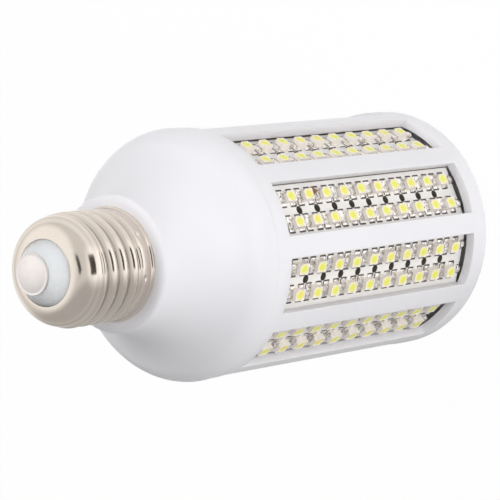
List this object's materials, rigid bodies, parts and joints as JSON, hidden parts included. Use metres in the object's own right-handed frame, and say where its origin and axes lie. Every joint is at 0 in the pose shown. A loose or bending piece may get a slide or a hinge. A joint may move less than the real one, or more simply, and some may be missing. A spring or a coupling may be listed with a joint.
{
  "type": "corn led bulb",
  "caption": "Corn-style LED bulb: white slotted cage with rows of small LEDs behind its windows, a bell-shaped housing and a screw cap.",
  "frame": {"origin": "centre of the plain end, on the surface that the bulb stands on", "axes": "+Z along the bulb from the plain end to the cap; one window faces -Y"},
  "size_m": [0.0604, 0.0604, 0.14],
  "materials": {
    "white_shell": "smooth moulded white plastic with a soft gloss",
    "nickel_shell": "bright nickel plate on rolled sheet",
    "insulator": "pale grey-white insulator, smooth",
    "contact_metal": "satin tinned contact",
    "white_board": "white solder mask on glass-fibre board",
    "led_package": "cream LED package with yellow phosphor",
    "solder": "bright solder",
    "green_board": "green solder mask",
    "capacitor_coat": "dark red cast coat",
    "black_sleeve": "black shrink sleeve",
    "black_moulding": "black moulding",
    "resistor_coat": "pale blue lacquer",
    "red_wire": "red insulation",
    "black_wire": "black insulation"
  },
  "bodies": {
    "root": {"cage": "white_shell", "lower_housing": "white_shell", "screw_shell": "nickel_shell", "cap_insulator": "insulator", "centre_contact": "contact_metal", "led_board_01": "white_board", "led_board_02": "white_board", "led_board_03": "white_board", "led_board_04": "white_board", "led_board_05": "white_board", "led_board_06": "white_board", "led_board_07": "white_board", "led_board_08": "white_board", "led_board_09": "white_board", "led_board_10": "white_board", "leds_01": "led_package", "leds_02": "led_package", "leds_03": "led_package", "leds_04": "led_package", "leds_05": "led_package", "leds_06": "led_package", "leds_07": "led_package", "leds_08": "led_package", "leds_09": "led_package", "leds_10": "led_package", "solder_joints": "solder", "end_board": "green_board", "driver_board": "green_board", "film_capacitor": "capacitor_coat", "reservoir_capacitor": "black_sleeve", "bridge_rectifier": "black_moulding", "fuse_resistor": "resistor_coat", "bleed_resistor": "resistor_coat", "live_wire": "red_wire", "neutral_wire": "black_wire"}
  },
  "joints": []
}
